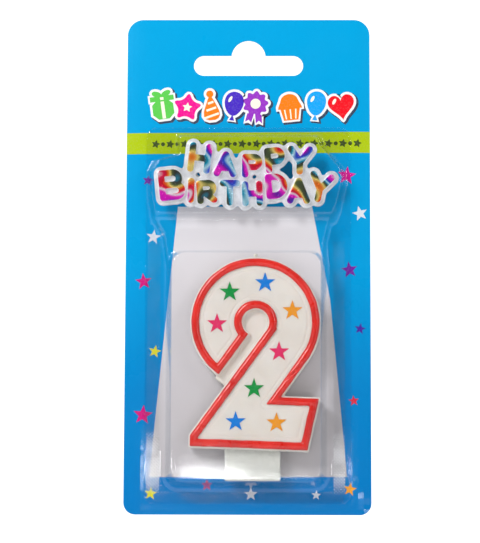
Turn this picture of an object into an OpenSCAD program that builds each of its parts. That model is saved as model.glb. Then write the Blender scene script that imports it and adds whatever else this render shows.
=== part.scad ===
// A numeral birthday candle in its hanging blister pack: a printed card, a clear
// blister that peels up from it, a wax numeral on a stake, and a greeting topper.
// Millimetres. X is to the right, Y goes back and Z is up. The pack faces -Y.
// The origin is the middle of the hang slot, on the card's back face.

/* [Card] */
// Width of the backing card
card_w = 71; // [68:0.5:76]
// Height of the backing card
card_h = 144.5; // [142:0.5:150]
// Thickness of the board
card_t = 0.5; // [0.4:0.05:0.8]
// Radius of the two upper corners
card_top_r = 4.6; // [2:0.2:6]
// Radius of the two lower corners
card_low_r = 3.4; // [2:0.2:6]
// Distance from the card's top edge down to the middle of the hang slot
slot_drop = 13.75; // [12:0.25:16]
// Width of the hang slot, end to end
slot_w = 32; // [28:0.5:34]
// Height of the slot's straight part
slot_h = 5.9; // [4.5:0.1:7]
// Radius of the hump over the slot's middle
hump_r = 5; // [4:0.1:6]

/* [Blister] */
// Thickness of the clear sheet
film_t = 0.35; // [0.3:0.05:0.5]
// Width of the sealing flange
flange_w = 59.4; // [58.8:0.1:62]
// Height of the sealing flange
flange_h = 109.2; // [108.5:0.1:111]
// How far the flange's top edge lies under the hang slot
flange_drop = 18.5; // [17:0.1:19]
// How far the numeral's well stands out from the card
well_depth = 11; // [10.8:0.1:14]
// How far the topper's well stands out from the card
topper_depth = 8; // [7.8:0.1:9]
// How far the neck between the wells stands out from the card
neck_depth = 5; // [4.8:0.1:6]

/* [Numeral] */
// Outer radius of the numeral's round head
head_r = 18.3; // [17.5:0.1:18.4]
// Radius of the round counter inside the head
counter_r = 3.95; // [3:0.05:5]
// Width of the slot that leads down out of the counter
gap_w = 3.6; // [2.5:0.1:4]
// How far the diagonal stroke leans from upright, in degrees
lean = 36; // [34:0.5:38]
// How far the foot's edges fall to the right, in degrees
foot_fall = 2; // [0:0.5:3]
// Thickness of the numeral
body_t = 6; // [5:0.1:7]
// Thickness of the web in the counter and the slot
web_t = 4.6; // [3:0.1:5]
// Width of the red bead
bead_w = 2.2; // [1.5:0.1:2.6]
// How far the bead stands up from the numeral's face
bead_h = 1; // [0.5:0.1:1.1]
// Radius of the printed stars, tip to middle
star_r = 3; // [2:0.1:3.5]

/* [Stake and wick] */
// Width of the stake
stake_w = 15.8; // [12:0.1:18]
// Thickness of the stake
stake_t = 2.6; // [2:0.1:3]
// How much of the stake shows below the numeral
stake_out = 9.1; // [6:0.1:9.2]
// Thickness of the wick
wick_d = 1.2; // [0.8:0.1:1.4]
// How much of the wick shows above the numeral
wick_out = 1.1; // [0.5:0.1:1.1]

/* [Topper] */
// Width of the letters' strokes
pen = 1.9; // [1.4:0.1:2.1]
// How far the plaque reaches out round the letters
margin = 1.2; // [0.9:0.1:1.3]
// Thickness of the plaque
plaque_t = 1.2; // [0.8:0.1:1.4]
// How far the letters stand up from the plaque
letter_h = 0.7; // [0.4:0.1:0.8]
// Thickness of the foil on the letters
foil_t = 0.12; // [0.08:0.01:0.2]

/* [Hidden] */
$fn = 96;

// Gaps between the card and what it carries, from the card's front face
candle_gap = 1.2;
plaque_gap = 4.2;

// The numeral's head centre, and the ends of its foot measured from it
head = [2.3, -76.1];
foot_top = 21.2;
foot_low = 36;
foot_right_top = 18.1;
foot_right_low = 14.8;
foot_left = -18.6;
// White wax that shows outside the bead, and how far the web runs down the slot
skirt = 0.4;
web_reach = 19.3;
star_waist = 0.4;
star_t = 0.15;

stake_mid = 1.5;
stake_grip = 6;
stake_gap = 2.6;
wick_grip = 5;
wick_gap = 4.2;

peg_r = 0.9;
peg_l = 3.4;
peg_x = [-15, 14];
peg_z = -33.8;

// The wells' middles, and how much smaller each face is than its base
well_mid = [-0.4, -88.75];
well_size = [46.8, 69.1];
well_r = 4.2;
well_taper = [0.91, 0.92];
topper_mid = [0, -34];
topper_taper = [0.945, 0.88];
neck_mid = [-1, -50];
neck_taper = [0.96, 0.97];
topper_base = [
    [-29.2, -31.5], [-27.4, -28.6], [-20.9, -26.8], [-20.9, -20.7], [20.7, -20.7], [22.4, -24.4],
    [28.2, -31.2], [28.4, -36], [26.9, -43], [25.4, -46.6], [-28, -46.6], [-29.2, -40]
];
neck_base = [
    [-28.6, -38], [-28.1, -44.7], [-26.8, -47.8], [-25, -50.8], [-24.2, -56], [-23.6, -62],
    [22.6, -62], [22.7, -52.8], [24.3, -46.4], [26, -40.5], [26, -38]
];

// Name, place from the head's centre and colour of each printed star
STARS = [
    ["star_green_upper", [-7.4, 8.6], "green"],
    ["star_blue_upper", [2.7, 11.3], "deepskyblue"],
    ["star_orange_upper", [10.5, 3.3], "orange"],
    ["star_pink_left", [-11, -0.5], "deeppink"],
    ["star_pink_right", [6.7, -8.5], "deeppink"],
    ["star_green_lower", [-0.4, -19], "green"],
    ["star_blue_lower", [-5.6, -28.4], "dodgerblue"],
    ["star_orange_lower", [6, -28.7], "orange"]
];

// Name, letter, middle, size between stroke ends, and tilt of each foil letter
LETTERS = [
    ["foil_upper_h", "H", [-13.9, -28.4], [4.7, 6.9], -7],
    ["foil_upper_a", "A", [-6.5, -30.2], [4.7, 5.6], -3],
    ["foil_upper_p_1", "P", [1.2, -30.7], [4, 5.1], 0],
    ["foil_upper_p_2", "P", [7.8, -29], [4, 5.6], 6],
    ["foil_upper_y", "Y", [15, -29.1], [5.4, 6.5], -2],
    ["foil_lower_b", "B", [-22, -36.3], [5.6, 7.1], 6],
    ["foil_lower_i", "I", [-16.4, -37.9], [0, 5.4], -2],
    ["foil_lower_r", "R", [-11.9, -38.3], [3.9, 5], 5],
    ["foil_lower_t", "T", [-5.2, -38.6], [4, 5.6], 0],
    ["foil_lower_h", "H", [1.3, -38.8], [4.1, 5.4], 2],
    ["foil_lower_d", "D", [8.2, -36.6], [4.4, 5.5], 6],
    ["foil_lower_a", "A", [14.6, -38], [4.8, 5.7], -1],
    ["foil_lower_y", "Y", [20.8, -37], [5.3, 6.9], -12]
];

// Drawings are made flat, with Z up the page. This stands one up so that it grows
// towards the viewer from gap millimetres in front of the card's front face.
module standing(gap) {
    translate([0, -card_t - gap, 0]) rotate([90, 0, 0]) children();
}

// What is left of a square corner outside a round one, to be cut away
module corner_waste(r) {
    difference() {
        square([r, r]);
        circle(r);
    }
}

// ---- card ----

module card_outline() {
    top = slot_drop;
    low = slot_drop - card_h;
    difference() {
        translate([-card_w / 2, low]) square([card_w, card_h]);
        for (side = [-1, 1]) scale([side, 1]) {
            translate([card_w / 2 - card_top_r, top - card_top_r]) corner_waste(card_top_r);
            translate([card_w / 2 - card_low_r, low + card_low_r]) mirror([0, 1]) corner_waste(card_low_r);
        }
    }
}

module hang_slot() {
    straight = slot_w - slot_h;
    translate([-straight / 2, -slot_h / 2]) square([straight, slot_h]);
    for (side = [-1, 1]) translate([side * straight / 2, 0]) circle(slot_h / 2);
    translate([0, slot_h / 2 - 0.5]) circle(hump_r);
}

module backing_card() {
    color("deepskyblue") rotate([90, 0, 0]) linear_extrude(card_t) difference() {
        card_outline();
        hang_slot();
    }
}

// ---- blister ----

module rounded_block(size, r) {
    offset(r) square([size[0] - 2 * r, size[1] - 2 * r], center = true);
}

module smooth_polygon(points, r) {
    offset(r) offset(delta = -r) polygon(points);
}

// A well that narrows towards its face, drawn round its own middle
module tapered(mid, depth, taper) {
    translate(mid) linear_extrude(depth, scale = taper, slices = 1) translate(-mid) children();
}

// All the hollows as solids: grow is 0 for their insides and film_t for their outsides
module wells(grow) {
    tapered(well_mid, well_depth - film_t + grow, well_taper)
        translate(well_mid) rounded_block(well_size + 2 * (grow - film_t) * [1, 1], well_r);
    tapered(topper_mid, topper_depth - film_t + grow, topper_taper)
        offset(delta = grow - film_t) smooth_polygon(topper_base, 1.5);
    tapered(neck_mid, neck_depth - film_t + grow, neck_taper)
        offset(delta = grow - film_t) smooth_polygon(neck_base, 1.5);
}

module blister_shell() {
    $fn = 24;
    color("white", 0.3) standing(0) difference() {
        union() {
            translate([0, -flange_drop - flange_h / 2]) linear_extrude(film_t)
                rounded_block([flange_w, flange_h], 3);
            wells(film_t);
        }
        translate([0, 0, -0.01]) wells(0);
    }
}

// ---- numeral candle, drawn round its head's centre ----

// A strip along the diagonal stroke, between two distances from the head's centre
module strip(near, far, length) {
    rotate(-lean) translate([near, -length]) square([far - near, length]);
}

// Where the line that touches a circle of radius r reaches a place down or across
function touch(r) = r * [cos(lean), -sin(lean)];
function down_to(r, z) = touch(r) - (touch(r)[1] - z) / cos(lean) * [sin(lean), cos(lean)];
function across_to(r, x) = touch(r) - (touch(r)[0] - x) / sin(lean) * [sin(lean), cos(lean)];
function falling(x, depth) = [x, -depth - x * tan(foot_fall)];

module numeral_filled() {
    circle(head_r);
    inner = down_to(head_r, -foot_top)[0];
    polygon([
        [0, 0], touch(head_r),
        falling(inner, foot_top), falling(foot_right_top, foot_top),
        falling(foot_right_low, foot_low), falling(foot_left, foot_low),
        across_to(counter_r, foot_left)
    ]);
}

module keyhole(length) {
    circle(counter_r);
    strip(counter_r - gap_w, counter_r, length);
}

module numeral() {
    difference() {
        numeral_filled();
        keyhole(3 * head_r);
    }
}

module stake_block() {
    low = head[1] - foot_low - stake_out;
    translate([stake_mid - stake_w / 2, -card_t - stake_gap - stake_t, low])
        cube([stake_w, stake_t, stake_out + stake_grip]);
}

module wick_rod() {
    top = head[1] + head_r + skirt + wick_out;
    long = wick_out + wick_grip;
    translate([head[0], -card_t - wick_gap, top - long]) cylinder(d = wick_d, h = long, $fn = 32);
}

module candle_body() {
    color("ivory") difference() {
        standing(candle_gap) translate(head) {
            linear_extrude(web_t) offset(skirt) {
                numeral();
                keyhole(web_reach);
            }
            linear_extrude(body_t) offset(skirt) numeral();
        }
        stake_block();
        wick_rod();
    }
}

module outline_bead() {
    color("red") standing(candle_gap + body_t) translate(head) linear_extrude(bead_h) difference() {
        numeral();
        offset(delta = -bead_w) numeral();
    }
}

module candle_stake() {
    color("gainsboro") stake_block();
}

module wick() {
    color("white") wick_rod();
}

module star(place, tint) {
    points = [for (i = [0:9]) let (r = i % 2 == 0 ? star_r : star_waist * star_r)
        r * [sin(36 * i), cos(36 * i)]];
    color(tint) standing(candle_gap + body_t) translate(head + place)
        linear_extrude(star_t) polygon(points);
}

// ---- greeting topper ----

// A straight stroke with round ends
module bar(from, to) {
    along = to - from;
    translate(from) rotate(atan2(along[1], along[0])) {
        translate([0, -pen / 2]) square([norm(along), pen]);
        circle(pen / 2);
        translate([norm(along), 0]) circle(pen / 2);
    }
}

// The right-hand bowl of a letter: two short bars and a half ring, between two heights
module bowl(right, low, high) {
    r = (high - low) / 2;
    bar([0, low], [right - r, low]);
    bar([0, high], [right - r, high]);
    translate([right - r, low + r]) difference() {
        circle(r + pen / 2);
        circle(r - pen / 2);
        translate([-2 * r, -2 * r]) square([2 * r, 4 * r]);
    }
}

module letter(name, w, h) {
    if (name == "A") {
        bar([0, 0], [w / 2, h]);
        bar([w, 0], [w / 2, h]);
        bar([w * 0.2, h * 0.3], [w * 0.8, h * 0.3]);
    }
    if (name == "Y") {
        fork = [w / 2, h * 0.42];
        bar([0, h], fork);
        bar([w, h], fork);
        bar([w / 2, 0], fork);
    }
    if (name == "T") {
        bar([0, h], [w, h]);
        bar([w / 2, 0], [w / 2, h]);
    }
    if (name == "H") {
        bar([w, 0], [w, h]);
        bar([0, h / 2], [w, h / 2]);
    }
    if (name == "P" || name == "R") bowl(w, h * 0.42, h);
    if (name == "R") bar([w * 0.4, h * 0.42], [w, 0]);
    if (name == "B") {
        bowl(w * 0.9, h / 2, h);
        bowl(w, 0, h / 2);
    }
    if (name == "D") bowl(w, 0, h);
    if (name != "A" && name != "Y" && name != "T") bar([0, 0], [0, h]);
}

module placed_letter(l) {
    translate(l[2]) rotate(l[4]) translate(-l[3] / 2) letter(l[1], l[3][0], l[3][1]);
}

module topper_plaque() {
    $fn = 20;
    color("whitesmoke") {
        standing(plaque_gap) {
            linear_extrude(plaque_t) offset(-0.5) offset(margin + 0.5) for (l = LETTERS) placed_letter(l);
            linear_extrude(plaque_t + letter_h) for (l = LETTERS) placed_letter(l);
        }
        for (x = peg_x) translate([x, -card_t - plaque_gap, peg_z])
            rotate([-90, 0, 0]) cylinder(r = peg_r, h = peg_l);
    }
}

module foil_letter(l) {
    color("violet") standing(plaque_gap + plaque_t + letter_h) linear_extrude(foil_t) placed_letter(l);
}

backing_card();
blister_shell();
candle_body();
outline_bead();
candle_stake();
wick();
for (s = STARS) star(s[1], s[2]);
topper_plaque();
for (l = LETTERS) foil_letter(l);
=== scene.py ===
import math

import bmesh
import bpy
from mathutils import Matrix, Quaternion, Vector, noise as field
from mathutils.bvhtree import BVHTree


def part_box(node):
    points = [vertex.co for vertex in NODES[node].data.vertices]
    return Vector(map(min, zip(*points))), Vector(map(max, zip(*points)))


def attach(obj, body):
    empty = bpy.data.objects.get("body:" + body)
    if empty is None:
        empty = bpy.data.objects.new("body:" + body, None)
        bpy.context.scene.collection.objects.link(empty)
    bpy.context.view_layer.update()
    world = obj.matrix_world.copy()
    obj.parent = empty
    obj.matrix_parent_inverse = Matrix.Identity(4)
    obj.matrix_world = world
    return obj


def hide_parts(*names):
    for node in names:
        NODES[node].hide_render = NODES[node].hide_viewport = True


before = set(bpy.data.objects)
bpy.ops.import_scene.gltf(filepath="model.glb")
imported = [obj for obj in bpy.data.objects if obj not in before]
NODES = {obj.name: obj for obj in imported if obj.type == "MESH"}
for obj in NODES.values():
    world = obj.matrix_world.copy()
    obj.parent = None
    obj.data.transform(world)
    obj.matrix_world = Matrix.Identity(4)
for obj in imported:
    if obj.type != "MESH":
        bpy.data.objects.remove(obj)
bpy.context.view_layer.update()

MM = 0.001


def box_mm(node):
    low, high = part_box(node)
    return Vector(low) / MM, Vector(high) / MM


CARD_LOW, CARD_HIGH = box_mm("backing_card")
CARD_FRONT = CARD_LOW.y
SHEET_LOW, SHEET_HIGH = box_mm("blister_shell")
CENTRE = (CARD_LOW + CARD_HIGH) / 2
FLANGE_HALF = (SHEET_HIGH.x - SHEET_LOW.x) / 2
FLANGE_FRONT = CARD_FRONT - 0.35    # the CAD's sheet is 0.35 thick

CARD_CELL = 1.6     # the pitch of the card's net
LAYER = 0.02        # how far one print layer stands over the one below
SHEET_THICK = 0.22  # how thick the clear sheet is drawn
SEAL_PITCH = 0.95   # the distance between two dots of the heat seal
SEAL_EDGE = 0.8     # how far the dots stay from the flange's sides
SEAL_GLINT_Z = -116    # the height at which the seal's frosting and painted glint are strongest

# The feet of the topper's well and of the neck below it, as (x, z) corners
TOPPER_WELL = [
    (-29.2, -31.5), (-27.4, -28.6), (-20.9, -26.8), (-20.9, -20.7), (20.7, -20.7), (22.4, -24.4),
    (28.2, -31.2), (28.4, -36), (26.9, -43), (25.4, -46.6), (-28, -46.6), (-29.2, -40)]
NECK_WELL = [
    (-28.6, -38), (-28.1, -44.7), (-26.8, -47.8), (-25, -50.8), (-24.2, -56), (-23.6, -62),
    (22.6, -62), (22.7, -52.8), (24.3, -46.4), (26, -40.5), (26, -38)]


# ---------------------------------------------------------------- materials

def add_node(tree, kind, inputs=None, **settings):
    """Adds a node; an input may be a value or the socket that feeds it."""
    made = tree.nodes.new(kind)
    for key, value in settings.items():
        setattr(made, key, value)
    for key, value in (inputs or {}).items():
        if isinstance(value, bpy.types.NodeSocket):
            tree.links.new(value, made.inputs[key])
        else:
            made.inputs[key].default_value = value
    return made


def principled(name, **values):
    """A material with one Principled shader; values go straight on its sockets."""
    material = bpy.data.materials.new(name)
    material.use_nodes = True
    shader = material.node_tree.nodes["Principled BSDF"]
    for key, value in values.items():
        shader.inputs[key.replace("_", " ")].default_value = value
    return material, material.node_tree, shader


def maths(tree, operation, first, second=0.5):
    """A Math node's result; ABSOLUTE reads only the first value."""
    return add_node(tree, "ShaderNodeMath", {0: first, 1: second}, operation=operation).outputs["Value"]


def place(tree):
    """Where a point lies on the object, in metres."""
    return add_node(tree, "ShaderNodeTexCoord").outputs["Object"]


def noise(tree, size, detail=3.0, rough=0.5, vector=None):
    """Noise whose blotches are about size millimetres across."""
    made = add_node(tree, "ShaderNodeTexNoise", {
        "Vector": vector or place(tree), "Scale": 1 / (size * MM), "Detail": detail, "Roughness": rough})
    return made.outputs["Fac"]


def ramp(tree, factor, stops):
    """A colour from stops of (position, colour)."""
    made = add_node(tree, "ShaderNodeValToRGB", {"Fac": factor})
    elements = made.color_ramp.elements
    while len(elements) < len(stops):
        elements.new(0.5)
    for element, (position, colour) in zip(elements, stops):
        element.position = position
        element.color = (*colour, 1)
    return made.outputs["Color"]


def vary(tree, shader, size, colours, low=0.3, high=0.7):
    """Blotches of the given colours, spread between them."""
    step = (high - low) / (len(colours) - 1)
    stops = [(low + step * i, colour) for i, colour in enumerate(colours)]
    tree.links.new(ramp(tree, noise(tree, size), stops), shader.inputs["Base Color"])


def span(tree, value, out_low, out_high, low=0.3, high=0.7):
    """Maps low..high to out_low..out_high and stays within those ends."""
    made = add_node(tree, "ShaderNodeMapRange", {
        "Value": value, "From Min": low, "From Max": high, "To Min": out_low, "To Max": out_high})
    return made.outputs["Result"]


def uneven_gloss(tree, shader, size, smooth, rough):
    tree.links.new(span(tree, noise(tree, size), smooth, rough), shader.inputs["Roughness"])


def bumps(tree, shader, height, depth, strength=0.5):
    """Bumps from a height socket; depth is in millimetres."""
    made = add_node(tree, "ShaderNodeBump", {"Height": height, "Strength": strength, "Distance": depth * MM})
    tree.links.new(made.outputs["Normal"], shader.inputs["Normal"])


def wax(name, pale, deep, smooth, rough, glow, reach):
    material, tree, shader = principled(
        name, Subsurface_Weight=glow, Subsurface_Radius=reach, Subsurface_Scale=1 * MM, IOR=1.44)
    vary(tree, shader, 7, [deep, pale])
    uneven_gloss(tree, shader, 3, smooth, rough)
    bumps(tree, shader, noise(tree, 1.4, 4), 0.12, 0.35)
    return material


def ink(name, colour, rough=0.42):
    """Printed ink: nearly even, with faint speckle where it lies thin."""
    material, tree, shader = principled(name, Specular_IOR_Level=0.2)
    thin = tuple(0.88 * c + 0.045 for c in colour)
    vary(tree, shader, 0.35, [thin, colour], 0.32, 0.5)
    uneven_gloss(tree, shader, 1.2, rough - 0.08, rough + 0.08)
    bumps(tree, shader, noise(tree, 0.3, 2), 0.02, 0.25)
    return material


# ---------------------------------------------------------------- mesh tools

def finished(name, bm, materials, smooth=True, scale=MM):
    """Turns a bmesh in millimetres into an object in metres."""
    bmesh.ops.recalc_face_normals(bm, faces=bm.faces)
    bmesh.ops.scale(bm, vec=(scale,) * 3, verts=bm.verts)
    mesh = bpy.data.meshes.new(name)
    bm.to_mesh(mesh)
    bm.free()
    mesh.polygons.foreach_set("use_smooth", [smooth] * len(mesh.polygons))
    for material in materials:
        mesh.materials.append(material)
    made = bpy.data.objects.new(name, mesh)
    bpy.context.scene.collection.objects.link(made)
    return made


def baked(made):
    """Replaces an object's mesh with what its modifiers make of it."""
    graph = bpy.context.evaluated_depsgraph_get()
    mesh = bpy.data.meshes.new_from_object(made.evaluated_get(graph))
    made.modifiers.clear()
    made.data = mesh
    return made


def melted(bm, voxel, rounds):
    """The bmesh rebuilt as one closed skin with soft edges, still in millimetres."""
    made = finished("melting", bm, [], scale=1)
    remesh = made.modifiers.new("remesh", "REMESH")
    remesh.mode, remesh.voxel_size = "VOXEL", voxel
    smooth = made.modifiers.new("smooth", "SMOOTH")
    smooth.factor, smooth.iterations = 0.5, rounds
    baked(made)
    out = bmesh.new()
    out.from_mesh(made.data)
    bpy.data.objects.remove(made)
    return out


def node_copy(node):
    """A CAD node's mesh as a bmesh in millimetres."""
    bm = bmesh.new()
    bm.from_mesh(NODES[node].data)
    bmesh.ops.remove_doubles(bm, verts=bm.verts, dist=1e-7)
    bmesh.ops.scale(bm, vec=(1 / MM,) * 3, verts=bm.verts)
    return bm


def noise_at(point, size):
    """Smooth noise from -1 to 1 whose swells are about size millimetres across."""
    return field.noise(point / size)


def stand_for(made, body, *nodes):
    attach(made, body)
    if nodes:
        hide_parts(*nodes)
    return made


def prism(bm, outline, front, back):
    """A flat closed slab over an outline of (x, z) points, between two Y values."""
    near = [bm.verts.new((x, front, z)) for x, z in outline]
    far = [bm.verts.new((x, back, z)) for x, z in outline]
    bm.faces.new(near)
    bm.faces.new(reversed(far))
    for i in range(len(outline)):
        j = (i + 1) % len(outline)
        bm.faces.new((near[j], near[i], far[i], far[j]))


def star_outline(x, z, size, turn=0.0, waist=0.4):
    points = []
    for i in range(10):
        r = size if i % 2 == 0 else size * waist
        a = math.radians(36 * i + turn)
        points.append((x + r * math.sin(a), z + r * math.cos(a)))
    return points


def oval_outline(x, z, half_w, half_h, steps=40):
    turns = [2 * math.pi * i / steps for i in range(steps)]
    return [(x + half_w * math.sin(a), z + half_h * math.cos(a)) for a in turns]


def grown(outline, out):
    """The outline moved outwards by a distance; only its outer corners are mitred."""
    count = len(outline)
    area = sum(outline[i - 1][0] * outline[i][1] - outline[i][0] * outline[i - 1][1] for i in range(count))
    sign = 1 if area > 0 else -1
    points = []
    for i in range(count):
        a, b, c = (Vector(outline[k % count]) for k in (i - 1, i, i + 1))
        before, after = (b - a).normalized(), (c - b).normalized()
        side = Vector((before.y + after.y, -before.x - after.x)).normalized() * sign
        hollow = before.cross(after) * sign > 0
        open_by = 1 if hollow else max(side.dot(Vector((before.y, -before.x)) * sign), 0.4)
        points.append(tuple(b + side * (out / open_by)))
    return points


def rounded(outline, rounds):
    """Chaikin's corner cutting: each round swaps a corner for two gentler ones."""
    for _ in range(rounds):
        cut = []
        for i in range(len(outline)):
            a, b = Vector(outline[i]), Vector(outline[(i + 1) % len(outline)])
            cut += [tuple(a.lerp(b, 0.25)), tuple(a.lerp(b, 0.75))]
        outline = cut
    return outline


# ---------------------------------------------------------------- camera, light, floor

def make_camera():
    """A long lens a little below the middle of the card, as the object was seen."""
    azimuth, elevation, distance = math.radians(0.64), math.radians(-7.09), 599.1
    out = Vector((math.sin(azimuth) * math.cos(elevation), -math.cos(azimuth) * math.cos(elevation),
                  math.sin(elevation)))
    aim = CENTRE + Vector((-2.3, 0, -2.2))
    data = bpy.data.cameras.new("camera")
    data.lens = 137
    data.sensor_width = 36
    data.clip_start, data.clip_end = 0.05, 20
    camera = bpy.data.objects.new("camera", data)
    camera.location = (CENTRE + out * distance) * MM
    roll = Quaternion((0, 0, 1), math.radians(0.19))
    camera.rotation_mode = "QUATERNION"
    camera.rotation_quaternion = (aim * MM - camera.location).to_track_quat("-Z", "Y") @ roll
    bpy.context.scene.collection.objects.link(camera)
    bpy.context.scene.camera = camera


def make_light(name, place_mm, size_mm, power, shape="RECTANGLE"):
    """A soft box that faces the middle of the card, from where its place is measured."""
    data = bpy.data.lights.new(name, "AREA")
    data.shape = shape
    data.size, data.size_y = size_mm[0] * MM, size_mm[1] * MM
    data.energy = power
    light = bpy.data.objects.new(name, data)
    light.location = (CENTRE + Vector(place_mm)) * MM
    light.rotation_mode = "QUATERNION"
    light.rotation_quaternion = (-Vector(place_mm)).to_track_quat("-Z", "Y")
    bpy.context.scene.collection.objects.link(light)


def make_studio():
    """Two soft boxes, four small lights, a pale floor, and a world that is dim in front
    and bright behind.
    """
    world = bpy.data.worlds.new("studio")
    world.use_nodes = True
    background = world.node_tree.nodes["Background"]
    background.inputs["Color"].default_value = (1, 1, 1, 1)
    tree = world.node_tree
    behind = add_node(tree, "ShaderNodeSeparateXYZ", {
        "Vector": add_node(tree, "ShaderNodeTexCoord").outputs["Generated"]}).outputs["Y"]
    dim, bright = 0.05, 1.3
    around = span(tree, behind, dim, bright, -0.97, 0.9)
    # What the camera sees directly is never less than full white
    seen = add_node(tree, "ShaderNodeLightPath").outputs["Is Camera Ray"]
    strength = maths(tree, "MAXIMUM", seen, around)
    tree.links.new(strength, background.inputs["Strength"])
    bpy.context.scene.world = world
    bpy.context.scene.view_settings.view_transform = "Standard"
    make_light("key", (-500, -720, 540), (240, 360), 7.2)
    make_light("fill", (640, -800, 300), (260, 360), 1.8)
    # From the camera the two sweeps mirror in the clear sheet, at the foot of the
    # numeral's well, and the two edge glints in the card's own gloss beside the sheet
    make_light("sweep_broad", (-34, -700, -43.6), (40, 12), 0.017, "ELLIPSE")
    make_light("sweep_thin", (-8, -700, -45.4), (96, 6.5), 0.02, "ELLIPSE")
    make_light("edge_glint_left", (-84, -700, -40), (30, 18), 0.03, "ELLIPSE")
    make_light("edge_glint_right", (70, -700, -42), (24, 14), 0.02, "ELLIPSE")

    material, tree, shader = principled("floor", Roughness=0.6)
    vary(tree, shader, 60, [(0.86, 0.86, 0.87), (0.9, 0.9, 0.9)])
    bm = bmesh.new()
    bmesh.ops.create_grid(bm, x_segments=8, y_segments=8, size=3000)
    bmesh.ops.translate(bm, vec=(0, 0, CARD_LOW.z - 60), verts=bm.verts)
    floor = finished("floor", bm, [material], smooth=False)


make_camera()
make_studio()


# ---------------------------------------------------------------- card

def upward(tree):
    """0 at the card's bottom edge and 1 at its top."""
    z = add_node(tree, "ShaderNodeSeparateXYZ", {"Vector": place(tree)}).outputs["Z"]
    return span(tree, z, 0, 1, CARD_LOW.z * MM, CARD_HIGH.z * MM)


def card_colour(tree):
    """Sky blue that deepens down the card."""
    return ramp(tree, upward(tree), [
        (0.0, (0.0, 0.18, 0.5)), (0.25, (0.0, 0.215, 0.54)),
        (0.5, (0.0, 0.315, 0.66)), (1.0, (0.0, 0.35, 0.69))])


def print_material(name, gloss):
    """Printed board; gloss is the weight of a slightly wavy varnish."""
    material, tree, shader = principled(name, Specular_IOR_Level=0.1, Coat_Weight=gloss, Coat_Roughness=0.07)
    speckle = span(tree, noise(tree, 0.4, 2), 0.97, 1.0)
    mixed = add_node(tree, "ShaderNodeMix", {"Factor": 1.0, "A": card_colour(tree)},
                     data_type="RGBA", blend_type="MULTIPLY")
    tree.links.new(speckle, mixed.inputs["B"])
    tree.links.new(mixed.outputs["Result"], shader.inputs["Base Color"])
    uneven_gloss(tree, shader, 12, 0.26, 0.36)
    stretched = add_node(tree, "ShaderNodeMapping", {"Vector": place(tree), "Scale": (0.4, 1, 1)})
    waves = noise(tree, 6, 2, vector=stretched.outputs["Vector"])
    wavy = add_node(tree, "ShaderNodeBump", {"Height": waves, "Strength": 0.5, "Distance": 0.12 * MM})
    tree.links.new(wavy.outputs["Normal"], shader.inputs["Coat Normal"])
    bumps(tree, shader, noise(tree, 25, 2), 0.3, 0.2)
    return material


def board_material(name, colours):
    """Bare board: pale fibres and flecks."""
    material, tree, shader = principled(name)
    vary(tree, shader, 0.5, colours, 0.35, 0.65)
    uneven_gloss(tree, shader, 4, 0.6, 0.8)
    bumps(tree, shader, noise(tree, 0.25, 4, 0.7), 0.05, 0.5)
    return material


def card_shift(x, z):
    """How far the card has bowed back at its long edges, and stands up along a crease."""
    bow_depth, crease_height, crease_width = 0.35, 0.3, 0.7
    beyond = max(abs(x) - FLANGE_HALF, 0) / (CARD_HIGH.x - FLANGE_HALF)
    crease_from = Vector((CARD_HIGH.x - 3.2, CARD_LOW.z + 8.2))
    crease_to = Vector((CARD_HIGH.x - 0.6, CARD_LOW.z + 0.6))
    along = (crease_to - crease_from).normalized()
    away = (Vector((x, z)) - crease_from).dot(Vector((-along.y, along.x)))
    fade = max(0.0, min(1.0, (crease_from.y + 2 - z) / 3))
    return bow_depth * beyond ** 2 - crease_height * fade * math.exp(-(away / crease_width) ** 2)


def make_card():
    """The card as a fine net, so that its long edges can bow and a corner can crease.

    Its print is glossy, apart from where the clear sheet lies on it.
    """
    bm = node_copy("backing_card")
    bmesh.ops.dissolve_limit(bm, angle_limit=0.01, verts=bm.verts, edges=bm.edges)
    for axis, low, high in ((0, CARD_LOW.x, CARD_HIGH.x), (2, CARD_LOW.z, CARD_HIGH.z)):
        normal = Vector((axis == 0, 0, axis == 2))
        cuts = [low + CARD_CELL * i for i in range(1, int((high - low) / CARD_CELL))]
        for cut in cuts + [SHEET_LOW[axis], SHEET_HIGH[axis]]:
            bmesh.ops.bisect_plane(bm, geom=bm.verts[:] + bm.edges[:] + bm.faces[:],
                                   plane_co=normal * cut, plane_no=normal)
    for v in bm.verts:
        v.co.y += card_shift(v.co.x, v.co.z)
    print_slot, core_slot, back_slot, sealed_slot = range(4)
    for face in bm.faces:
        face.normal_update()
        if face.normal.y > 0.5:
            face.material_index = back_slot
        elif face.normal.y > -0.5:
            face.material_index = core_slot
        else:
            at = face.calc_center_median()
            covered = SHEET_LOW.x < at.x < SHEET_HIGH.x and SHEET_LOW.z < at.z < SHEET_HIGH.z
            face.material_index = sealed_slot if covered else print_slot
    card = finished("card", bm, [
        print_material("card_print", 0.5),
        board_material("card_core", [(0.72, 0.72, 0.7), (0.85, 0.85, 0.83)]),
        board_material("card_back", [(0.6, 0.59, 0.56), (0.74, 0.73, 0.7)]),
        print_material("card_print_sealed", 0.0)], smooth=False)
    stand_for(card, "card", "backing_card")


make_card()


# ---------------------------------------------------------------- print on the card

def bow(bm):
    """Takes a decal along with the card's bowed edges."""
    for i in range(1, int((CARD_HIGH.x - CARD_LOW.x) / CARD_CELL)):
        x = CARD_LOW.x + CARD_CELL * i
        if abs(x) > FLANGE_HALF - CARD_CELL:
            bmesh.ops.bisect_plane(bm, geom=bm.verts[:] + bm.edges[:] + bm.faces[:],
                                   plane_co=(x, 0, 0), plane_no=(1, 0, 0))
    for v in bm.verts:
        v.co.y += card_shift(v.co.x, v.co.z)


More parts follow.
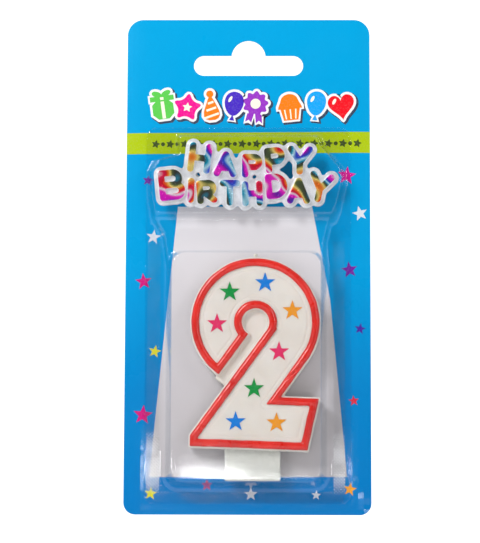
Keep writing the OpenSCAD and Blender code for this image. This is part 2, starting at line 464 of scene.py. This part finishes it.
def decal(name, layer, material, outlines):
    """Printed shapes on the card's front; a higher layer lies over the lower ones."""
    bm = bmesh.new()
    for i, outline in enumerate(outlines):
        stagger = 0.1 * (i % 5)
        prism(bm, outline, CARD_FRONT - LAYER * (layer + stagger), CARD_FRONT + LAYER * (2 + stagger))
    bow(bm)
    stand_for(finished(name, bm, [material], smooth=False), "card")


def moved(outline, x, z, turn=0.0):
    c, s = math.cos(math.radians(turn)), math.sin(math.radians(turn))
    return [(x + c * px + s * pz, z - s * px + c * pz) for px, pz in outline]


def box_outline(w, h):
    return [(-w / 2, -h / 2), (w / 2, -h / 2), (w / 2, h / 2), (-w / 2, h / 2)]


def balloon():
    skin = [(2.75 * math.sin(a) * (1 + 0.16 * math.cos(a)), 0.7 + 3.6 * math.cos(a))
            for a in (2 * math.pi * i / 36 for i in range(36))]
    knot = [(-0.75, -4.3), (0.75, -4.3), (0.15, -2.9), (-0.15, -2.9)]
    shine = moved(oval_outline(0, 0, 0.42, 1.0, 16), -1.25, 1.9, 22)
    return [skin, knot], [shine]


def burst():
    return [rounded(star_outline(0, 0, 4.7, waist=0.5), 2)], [star_outline(0, 0, 1.5, waist=0.5)]


def party_hat():
    cone = rounded([(-3.3, -3.9), (3.3, -3.9), (0.45, 3.4), (-0.45, 3.4)], 2)
    pompom = oval_outline(0, 3.9, 1.05, 1.05, 20)
    stripes = [moved(box_outline(w, 0.65), 0, z, -14) for w, z in ((4.3, -2.6), (3.0, -0.6), (1.7, 1.3))]
    return [cone, pompom], stripes


def gift():
    box = rounded([(-3.1, -4.2), (3.1, -4.2), (3.1, 1.6), (-3.1, 1.6)], 1)
    lid = [(-3.5, 1.2), (3.5, 1.2), (3.5, 2.7), (-3.5, 2.7)]
    loops = [moved(oval_outline(0, 0, 1.5, 0.85, 20), side * 1.35, 3.3, side * -24) for side in (-1, 1)]
    return [box, lid] + loops, [moved(box_outline(1.0, 5.1), 0, -1.5), moved(box_outline(1.0, 0.8), 0, 1.95)]


def rosette():
    petals = [((3.4 + 0.4 * math.cos(9 * a)) * math.sin(a), 0.9 + (3.4 + 0.4 * math.cos(9 * a)) * math.cos(a))
              for a in (2 * math.pi * i / 90 for i in range(90))]
    tail = [(0.1, -1.8), (2.1, -2.2), (2.5, -4.7), (1.5, -4.0), (0.7, -4.8)]
    tails = [[(x * side, z) for x, z in tail] for side in (-1, 1)]
    return [petals] + tails, [oval_outline(0, 0.9, 1.5, 1.5, 24)]


def cupcake():
    cup = [(-2.1, -4.3), (2.1, -4.3), (2.9, -0.6), (-2.9, -0.6)]
    icing = [(3.3 * math.cos(a) * (1 + 0.07 * math.cos(6 * a)), -0.9 + 4.4 * math.sin(a))
             for a in (math.pi * i / 24 for i in range(25))]
    folds = [moved(box_outline(0.4, 2.9), x, -2.5, x * 4) for x in (-1.5, 0, 1.5)]
    return [cup, icing], folds


def heart():
    outline = []
    for a in (2 * math.pi * i / 48 for i in range(48)):
        rise = 13 * math.cos(a) - 5 * math.cos(2 * a) - 2 * math.cos(3 * a) - math.cos(4 * a)
        outline.append((0.24 * 16 * math.sin(a) ** 3, 0.3 + 0.26 * rise))
    return [outline], [moved(oval_outline(0, 0, 0.45, 0.95, 16), -1.9, 1.7, 35)]


def make_print():
    """The pale panel, the band with its row, the pictures along the top and the stars."""
    pale = ink("print_pale", (0.7, 0.67, 0.68), 0.35)
    tree = pale.node_tree
    fade = ramp(tree, upward(tree), [
        (0.1, (0.52, 0.495, 0.505)), (0.4, (0.66, 0.63, 0.645)), (0.65, (0.84, 0.81, 0.825))])
    tree.links.new(fade, tree.nodes["Principled BSDF"].inputs["Base Color"])
    decal("print_panel", 1, pale, [
        [(-20.4, -41.8), (18.6, -41.75), (23.8, -69), (28.55, -119.9), (-28.2, -120.1), (-23.1, -69)]])
    decal("print_band", 1, ink("print_lime", (0.4, 0.53, 0.0), 0.35), [
        [(CARD_LOW.x, -26.3), (CARD_HIGH.x, -25.8), (CARD_HIGH.x, -19.58), (CARD_LOW.x, -20.06)]])
    row = []
    signs, spacing = 29, 2.1
    for i in range(signs):
        x = -27 + spacing * i
        z = -23.2 + 0.006 * x
        if i % 2 == 0:
            row.append(star_outline(x, z, 1.35, 12, 0.5))
        else:
            row.append(oval_outline(x, z, 0.6, 0.6, 16))
    decal("print_band_row", 2, ink("print_olive", (0.05, 0.08, 0.01)), row)

    # Each picture's maker, its middle, its turn in degrees and its ink
    motifs = [
        (gift, -25.1, -11.7, -8, "green", (0.1, 0.56, 0.07)),
        (burst, -17.9, -12.4, 8, "magenta", (0.9, 0.0, 0.27)),
        (party_hat, -10.9, -12.3, -6, "orange", (0.95, 0.2, 0.0)),
        (balloon, -4.3, -12.0, 8, "indigo", (0.06, 0.02, 0.5)),
        (rosette, 2.0, -12.2, 6, "purple", (0.3, 0.03, 0.52)),
        (cupcake, 12.1, -11.9, -6, "orange", (0.95, 0.2, 0.0)),
        (balloon, 19.8, -11.9, 6, "sky", (0.0, 0.35, 0.85)),
        (heart, 27.2, -12.1, -8, "red", (0.82, 0.0, 0.01))]
    edge, fills, tints = [], {}, []
    for make, x, z, turn, colour_name, colour in motifs:
        shapes, details = make()
        shapes = [moved(shape, x, z, turn) for shape in shapes]
        edge += shapes
        fills.setdefault((colour_name, colour), []).extend(shapes)
        tints += [moved(detail, x, z, turn) for detail in details]
    shadow = [[(x + 0.45, z - 0.4) for x, z in grown(outline, 0.95)] for outline in edge]
    decal("print_motif_shadow", 1, ink("print_navy", (0.03, 0.05, 0.1)), shadow)
    decal("print_motif_edge", 2, ink("print_white", (0.86, 0.86, 0.86)),
          [grown(outline, 0.72) for outline in edge])
    for (colour_name, colour), outlines in fills.items():
        decal("print_motif_" + colour_name, 3, ink("print_" + colour_name, colour), outlines)
    decal("print_motif_tint", 4, ink("print_cream", (0.95, 0.9, 0.72)), tints)

    # Each colour, and the middle, size and turn in degrees of every star that has it
    stars = {
        "purple": ((0.15, 0.01, 0.3), [(-29.2, -34.1, 1.7, 10), (29.4, -60.2, 2.5, -8)]),
        "silver": ((0.68, 0.72, 0.78), [
            (-27.45, -50.7, 2.2, 8), (32.5, -43.7, 2.3, -14),
            (19.7, -125.1, 1.45, 4), (1.0, -124.9, 2.0, 0)]),
        "magenta": ((0.56, 0.0, 0.17), [(-30.2, -63.7, 2.5, -6), (-30.1, -102.3, 2.9, 5)]),
        "yellow": ((0.75, 0.7, 0.02), [(-26.8, -84, 1.9, 12), (-27.7, -124.75, 1.9, 6)]),
        "pink": ((0.7, 0.0, 0.28), [(28.7, -32.6, 2.8, 6)]),
        "violet": ((0.05, 0.012, 0.3), [(32.4, -77.35, 1.7, 10)]),
        "crimson": ((0.62, 0.02, 0.05), [(30.5, -98.1, 1.6, -6), (-11.6, -122.3, 1.7, 0)]),
        "amber": ((0.85, 0.36, 0.02), [(29.3, -123.4, 2.0, 10)])}
    for name, (colour, places) in stars.items():
        decal("print_star_" + name, 2, ink("print_star_" + name, colour),
              [star_outline(x, z, r, turn, 0.42) for x, z, r, turn in places])


make_print()


# ---------------------------------------------------------------- blister

def clear_material():
    """Thin clear sheet: it lets nearly all light through and mirrors more at a slant."""
    material = bpy.data.materials.new("clear_sheet_film")
    material.use_nodes = True
    tree = material.node_tree
    tree.nodes.clear()
    bump = add_node(tree, "ShaderNodeBump", {
        "Height": noise(tree, 9, 2), "Strength": 0.25, "Distance": 0.05 * MM}).outputs["Normal"]
    slant = add_node(tree, "ShaderNodeLayerWeight", {"Blend": 0.5, "Normal": bump}).outputs["Facing"]
    tint = ramp(tree, slant, [
        (0.0, (0.99, 0.99, 0.995)), (0.7, (0.96, 0.965, 0.975)), (1.0, (0.78, 0.81, 0.84))])
    through = add_node(tree, "ShaderNodeBsdfTransparent", {"Color": tint}).outputs["BSDF"]
    mirror = add_node(tree, "ShaderNodeBsdfGlossy", {
        "Color": (1, 1, 1, 1), "Roughness": span(tree, noise(tree, 4), 0.045, 0.075),
        "Normal": bump}).outputs["BSDF"]
    fresnel = span(tree, maths(tree, "POWER", slant, 5.0), 0.028, 0.7, 0.0, 1.0)
    mixed = add_node(tree, "ShaderNodeMixShader", {"Fac": fresnel, 1: through, 2: mirror}).outputs["Shader"]
    output = add_node(tree, "ShaderNodeOutputMaterial")
    tree.links.new(mixed, output.inputs["Surface"])
    return material


def seal_material():
    """The dots pressed in by the sealing tool: frosted white, with a painted glint that makes them whitest at
    the lower corners.
    """
    material = bpy.data.materials.new("clear_sheet_seal")
    material.use_nodes = True
    tree = material.node_tree
    tree.nodes.clear()
    # Painted glint: the white is strongest near the lower corners, as if a light caught the dots there
    at = add_node(tree, "ShaderNodeSeparateXYZ", {"Vector": place(tree)})
    outer = span(tree, maths(tree, "ABSOLUTE", at.outputs["X"]), 0.2, 1.0, 21 * MM, 26 * MM)
    height = maths(tree, "SUBTRACT", at.outputs["Z"], SEAL_GLINT_Z * MM)
    lower = span(tree, maths(tree, "ABSOLUTE", height), 1.0, 0.03, 4 * MM, 9 * MM)
    patchy = span(tree, noise(tree, 5, 2), 0.3, 1.0, 0.35, 0.6)
    frost_and_painted_glint = maths(tree, "MULTIPLY", maths(tree, "MULTIPLY", outer, lower), patchy)
    through = add_node(tree, "ShaderNodeBsdfTransparent").outputs["BSDF"]
    white = add_node(tree, "ShaderNodeBsdfPrincipled", {
        "Base Color": (0.95, 0.96, 0.97, 1), "Roughness": 0.3})
    mixed = add_node(tree, "ShaderNodeMixShader", {"Fac": frost_and_painted_glint, 1: through, 2: white.outputs["BSDF"]})
    output = add_node(tree, "ShaderNodeOutputMaterial")
    tree.links.new(mixed.outputs["Shader"], output.inputs["Surface"])
    return material


def rounded_box(x, z, w, h, r, steps=8):
    """The outline of a rectangle with round corners, round the middle (x, z)."""
    points = []
    for sx, sz, start in ((1, 1, 0), (1, -1, 90), (-1, -1, 180), (-1, 1, 270)):
        for i in range(steps + 1):
            a = math.radians(start + 90 * i / steps)
            points.append((x + sx * (w / 2 - r) + r * math.sin(a), z + sz * (h / 2 - r) + r * math.cos(a)))
    return points


def well(bm, outline, middle, taper, depth):
    """A plug that narrows towards the front, with its root behind the sheet."""
    rings = []
    for y, shrink in ((CARD_FRONT + 2, (1, 1)), (CARD_FRONT, (1, 1)), (CARD_FRONT - depth, taper)):
        rings.append([bm.verts.new((middle[0] + (x - middle[0]) * shrink[0], y,
                                    middle[1] + (z - middle[1]) * shrink[1])) for x, z in outline])
    for low, high in zip(rings, rings[1:]):
        for i in range(len(outline)):
            j = (i + 1) % len(outline)
            bm.faces.new((low[i], low[j], high[j], high[i]))
    bm.faces.new(rings[0])
    bm.faces.new(rings[-1])


def trim(bm, x, z, normal):
    """Cuts away what lies beyond a line on the card."""
    bmesh.ops.bisect_plane(bm, geom=bm.verts[:] + bm.edges[:] + bm.faces[:], plane_co=(x, 0, z),
                           plane_no=(normal[0], 0, normal[1]), clear_outer=True)


def make_blister():
    """The clear sheet: a flange and three drafted wells, melted into one skin."""
    bm = bmesh.new()
    well(bm, rounded_box(-0.4, -88.75, 46.8, 69.1, 4.2), (-0.4, -94), (0.91, 0.945), 11)
    well(bm, TOPPER_WELL, (0, -34), (0.945, 0.88), 8)
    well(bm, NECK_WELL, (-1, -50), (0.96, 0.97), 5)
    middle = (SHEET_LOW + SHEET_HIGH) / 2
    prism(bm, moved(box_outline(66, 118), middle.x, middle.z), FLANGE_FRONT, CARD_FRONT + 2)
    bm = melted(bm, 0.46, 1)
    back = [v for v in bm.verts if v.co.y > FLANGE_FRONT + 0.6]
    bmesh.ops.delete(bm, geom=back, context="VERTS")
    swell, ripple, lean = 0.03, 0.012, 0.12
    neck_foot, neck_top = -61, -44
    for v in bm.verts:
        depth = FLANGE_FRONT - v.co.y
        if depth < 0.3:
            continue
        hold = min(depth / 3, 1)
        v.co.y += swell * hold * noise_at(v.co, 22)
        if neck_foot < v.co.z < neck_top:
            v.co.y += ripple * hold * math.sin(v.co.z * 4.4 + 1.5 * noise_at(v.co, 9))
        if depth > 8:
            twist = (v.co.x + 20) / 32 * max(0.0, -100 - v.co.z) / 20
            v.co.y -= lean * twist
    half_w, corner = FLANGE_HALF, 3.0
    for side in (-1, 1):
        trim(bm, middle.x + side * half_w, 0, (side, 0))
    trim(bm, 0, SHEET_HIGH.z, (0, 1))
    trim(bm, 0, SHEET_LOW.z, (0, -1))
    for side in (-1, 1):
        for end, z in ((1, SHEET_HIGH.z), (-1, SHEET_LOW.z)):
            for turn in (15, 30, 45, 60, 75):
                n = (side * math.cos(math.radians(turn)), end * math.sin(math.radians(turn)))
                corner_x = middle.x + side * (half_w - corner)
                trim(bm, corner_x + n[0] * corner, z - end * corner + n[1] * corner, n)
    sheet = finished("blister_sheet", bm, [clear_material()])
    thick = sheet.modifiers.new("thick", "SOLIDIFY")
    thick.thickness, thick.offset = SHEET_THICK * MM, -1
    baked(sheet)
    stand_for(sheet, "blister", "blister_shell")


def seal_covers(x, z):
    """Whether the sealing tool pressed here: along the bottom, and up both sides."""
    strip_height, sides_top, left, right, free_corner = 3.4, -52, -25.4, 24.8, 2.4
    low_strip = z < SHEET_LOW.z + strip_height
    side_strip = z < sides_top and (x < left or x > right)
    in_corner = z < SHEET_LOW.z + free_corner and abs(x) > FLANGE_HALF - free_corner
    return (low_strip or side_strip) and not in_corner and abs(x) <= FLANGE_HALF - SEAL_EDGE


def make_seal():
    """The seal's dots: low pyramids, with every second row shifted by half a pitch."""
    bm = bmesh.new()
    margin, half, rise = 0.9, 0.3, 0.07
    y = FLANGE_FRONT + 0.01
    columns = int((2 * FLANGE_HALF - 2 * SEAL_EDGE) / SEAL_PITCH)
    for row in range(int(2 * (SHEET_HIGH.z - SHEET_LOW.z) / SEAL_PITCH)):
        z = SHEET_LOW.z + margin + row * SEAL_PITCH / 2
        for column in range(columns):
            x = -FLANGE_HALF + margin + (column + 0.5 * (row % 2)) * SEAL_PITCH
            if not seal_covers(x, z):
                continue
            corners = ((half, 0), (0, half), (-half, 0), (0, -half))
            ring = [bm.verts.new((x + dx, y, z + dz)) for dx, dz in corners]
            tip = bm.verts.new((x, y - rise, z))
            bm.faces.new(ring)
            for i in range(4):
                bm.faces.new((ring[i], tip, ring[(i + 1) % 4]))
    stand_for(finished("seal_knurl", bm, [seal_material()], smooth=False), "blister")


make_blister()
make_seal()


# ---------------------------------------------------------------- candle

def roughened(bm, size, height):
    """Small uneven swells over a skin, along its normals."""
    bm.normal_update()
    for v in bm.verts:
        v.co += v.normal * height * noise_at(v.co, size)
    return bm


def make_candle():
    """The cast numeral, its piped bead and its stake; the CAD stars stay and get their inks."""
    white = wax("white_wax_cast", (0.77, 0.735, 0.67), (0.71, 0.665, 0.59), 0.34, 0.5, 0.35, (1.0, 0.8, 0.6))
    red = wax("red_wax_piped", (0.8, 0.016, 0.006), (0.6, 0.007, 0.003), 0.25, 0.36, 0.06, (1.0, 0.12, 0.06))
    gloss = red.node_tree.nodes["Principled BSDF"]
    gloss.inputs["Coat Weight"].default_value = 0.5
    gloss.inputs["Coat Roughness"].default_value = 0.2

    bead = node_copy("outline_bead")
    back = max(v.co.y for v in bead.verts)
    edge = BVHTree.FromBMesh(bead)
    # The bead's back goes into the wax, so that no gap opens when it is melted
    sunk = 0.6
    for v in bead.verts:
        if v.co.y > back - 0.01:
            v.co.y += sunk
    walls = node_copy("outline_bead")
    walls.normal_update()
    bmesh.ops.delete(walls, geom=[f for f in walls.faces if abs(f.normal.y) > 0.5], context="FACES")
    rim = BVHTree.FromBMesh(walls)
    walls.free()
    bead = melted(bead, 0.17, 2)
    # Its front is rounded off towards its side walls, like a piped rope
    half_wide, mid_y = 1.1, back - 0.5
    for v in bead.verts:
        if v.co.y < back:
            inward = min(rim.find_nearest((v.co.x, mid_y, v.co.z))[3] / half_wide, 1)
            round_top = math.sqrt(1 - (1 - inward) ** 2)
            v.co.y = back - (back - v.co.y) * (0.15 + 0.85 * round_top)
    for _ in range(3):
        bmesh.ops.smooth_vert(
            bead, verts=bead.verts, factor=0.5, use_axis_x=True, use_axis_y=True, use_axis_z=True)
    bead = roughened(bead, 2.2, 0.08)
    stand_for(finished("piped_outline", bead, [red]), "candle", "outline_bead")

    slab = melted(node_copy("candle_body"), 0.25, 5)
    front = box_mm("candle_body")[0].y
    groove_depth, groove_at, groove_wide = 0.13, 1.2, 0.25
    for v in slab.verts:
        if v.co.y < front + 0.15:
            away = edge.find_nearest(v.co)[3]
            v.co.y += groove_depth * math.exp(-((away - groove_at) / groove_wide) ** 2)
    stand_for(finished("cast_numeral", roughened(slab, 3.5, 0.06), [white]), "candle", "candle_body")

    material, tree, shader = principled("stake_frosted", Subsurface_Weight=0.5, Subsurface_Radius=(1, 1, 0.9),
                                        Subsurface_Scale=2 * MM, IOR=1.5)
    vary(tree, shader, 1.1, [(0.58, 0.59, 0.54), (0.65, 0.66, 0.61)], 0.35, 0.65)
    uneven_gloss(tree, shader, 2, 0.35, 0.5)
    bumps(tree, shader, noise(tree, 0.9, 4), 0.1, 0.4)
    stake = melted(node_copy("candle_stake"), 0.25, 3)
    stand_for(finished("frosted_stake", roughened(stake, 2.5, 0.05), [material]), "candle", "candle_stake")

    inks = {"green": (0.0, 0.27, 0.045), "blue": (0.0, 0.19, 0.64),
            "orange": (0.8, 0.3, 0.015), "pink": (0.72, 0.025, 0.12)}
    for name, colour in inks.items():
        material = ink("star_ink_" + name, colour)
        for node in NODES:
            if node.startswith("star_" + name):
                for slot in NODES[node].material_slots:
                    slot.material = material


def tube(bm, points, radius, sides=8):
    """A round tube along the points, closed at both ends."""
    rings = []
    for i, point in enumerate(points):
        ahead = (points[min(i + 1, len(points) - 1)] - points[max(i - 1, 0)]).normalized()
        across = ahead.orthogonal().normalized()
        if rings:
            across = (last - ahead * last.dot(ahead)).normalized()
        last = across
        other = ahead.cross(across)
        rings.append([bm.verts.new(point + (across * math.cos(a) + other * math.sin(a)) * radius)
                      for a in (2 * math.pi * k / sides for k in range(sides))])
    for low, high in zip(rings, rings[1:]):
        for k in range(sides):
            bm.faces.new((low[k], low[(k + 1) % sides], high[(k + 1) % sides], high[k]))
    bm.faces.new(rings[0])
    bm.faces.new(rings[-1])


def make_wick():
    """Three strands laid round each other; lay is the height of one full turn."""
    low, high = box_mm("wick")
    middle = (low + high) / 2
    material, tree, shader = principled("cotton", Sheen_Weight=0.3)
    vary(tree, shader, 0.3, [(0.62, 0.58, 0.48), (0.85, 0.82, 0.74)])
    uneven_gloss(tree, shader, 0.5, 0.7, 0.9)
    bumps(tree, shader, noise(tree, 0.12, 4), 0.04, 0.7)
    bm = bmesh.new()
    steps, strands, lay, off = 40, 3, 2.4, 0.27
    for strand in range(strands):
        points = []
        for i in range(steps + 1):
            z = low.z + (high.z - low.z) * i / steps
            a = 2 * math.pi * (strand / strands + (z - low.z) / lay)
            points.append(Vector((middle.x + off * math.sin(a), middle.y + off * math.cos(a), z)))
        tube(bm, points, 0.32)
    stand_for(finished("braided_wick", bm, [material]), "candle", "wick")


make_candle()
make_wick()


# ---------------------------------------------------------------- topper

def foil_material():
    """Holographic foil: bands of spectral colour, broken by dark patches and by white patches that are
    painted reflections.
    """
    material, tree, shader = principled(
        "rainbow_foil_hot", Metallic=0.45, IOR=1.5, Coat_Weight=0.5, Coat_Roughness=0.08)
    # The near-white entries are painted reflections of white light on the foil
    colours = [
        (0.85, 0.01, 0.02), (0.95, 0.22, 0.02), (0.95, 0.75, 0.2), (0.1, 0.14, 0.05), (0.06, 0.06, 0.05),
        (0.0, 0.36, 0.55), (0.55, 0.85, 0.95), (0.02, 0.09, 0.68), (0.15, 0.02, 0.45), (0.85, 0.01, 0.6),
        (0.95, 0.04, 0.6), (0.95, 0.9, 0.95), (0.85, 0.02, 0.1), (0.75, 0.01, 0.02)]
    bands = add_node(tree, "ShaderNodeTexWave", {
        "Vector": place(tree), "Scale": 20, "Distortion": 4, "Detail": 0, "Detail Scale": 8},
        bands_direction="DIAGONAL", wave_profile="SAW")
    stops = [(i / (len(colours) - 1), c) for i, c in enumerate(colours)]
    tree.links.new(ramp(tree, bands.outputs["Fac"], stops), shader.inputs["Base Color"])
    uneven_gloss(tree, shader, 1, 0.12, 0.3)
    bumps(tree, shader, noise(tree, 0.5, 3), 0.04, 0.3)
    return material


def make_topper():
    """The moulded plaque, and the foil pressed on each of its letters."""
    material, tree, shader = principled(
        "plaque_gloss", Subsurface_Weight=0.3, Subsurface_Radius=(1, 1, 1), Subsurface_Scale=1.5 * MM,
        IOR=1.5, Coat_Weight=0.6, Coat_Roughness=0.05)
    # Painted shade: the plaque is drawn darker the deeper it lies, between and around its raised letters,
    # with grey clouding mixed in
    depth = add_node(tree, "ShaderNodeSeparateXYZ", {"Vector": place(tree)}).outputs["Y"]
    hollow = span(tree, depth, 0, 1, -6.5 * MM, -5.85 * MM)
    clouding_and_painted_shade = ramp(tree, maths(tree, "MULTIPLY", hollow, noise(tree, 2.5)), [
        (0.0, (0.94, 0.94, 0.95)), (0.35, (0.74, 0.75, 0.77)), (0.7, (0.5, 0.51, 0.53))])
    tree.links.new(clouding_and_painted_shade, shader.inputs["Base Color"])
    uneven_gloss(tree, shader, 2, 0.12, 0.28)
    bumps(tree, shader, noise(tree, 1.6, 3), 0.12, 0.4)
    plaque = melted(node_copy("topper_plaque"), 0.24, 4)
    stand_for(finished("moulded_plaque", roughened(plaque, 2.6, 0.05), [material]), "topper", "topper_plaque")

    foil = foil_material()
    for node in NODES:
        if not node.startswith("foil_"):
            continue
        letter = node_copy(node)
        back, sunk = max(v.co.y for v in letter.verts), 0.5
        for v in letter.verts:
            if v.co.y > back - 0.01:
                v.co.y += sunk
        letter = melted(letter, 0.14, 4)
        stand_for(finished(node.replace("foil_", "pressed_foil_"), letter, [foil]), "topper", node)


make_topper()
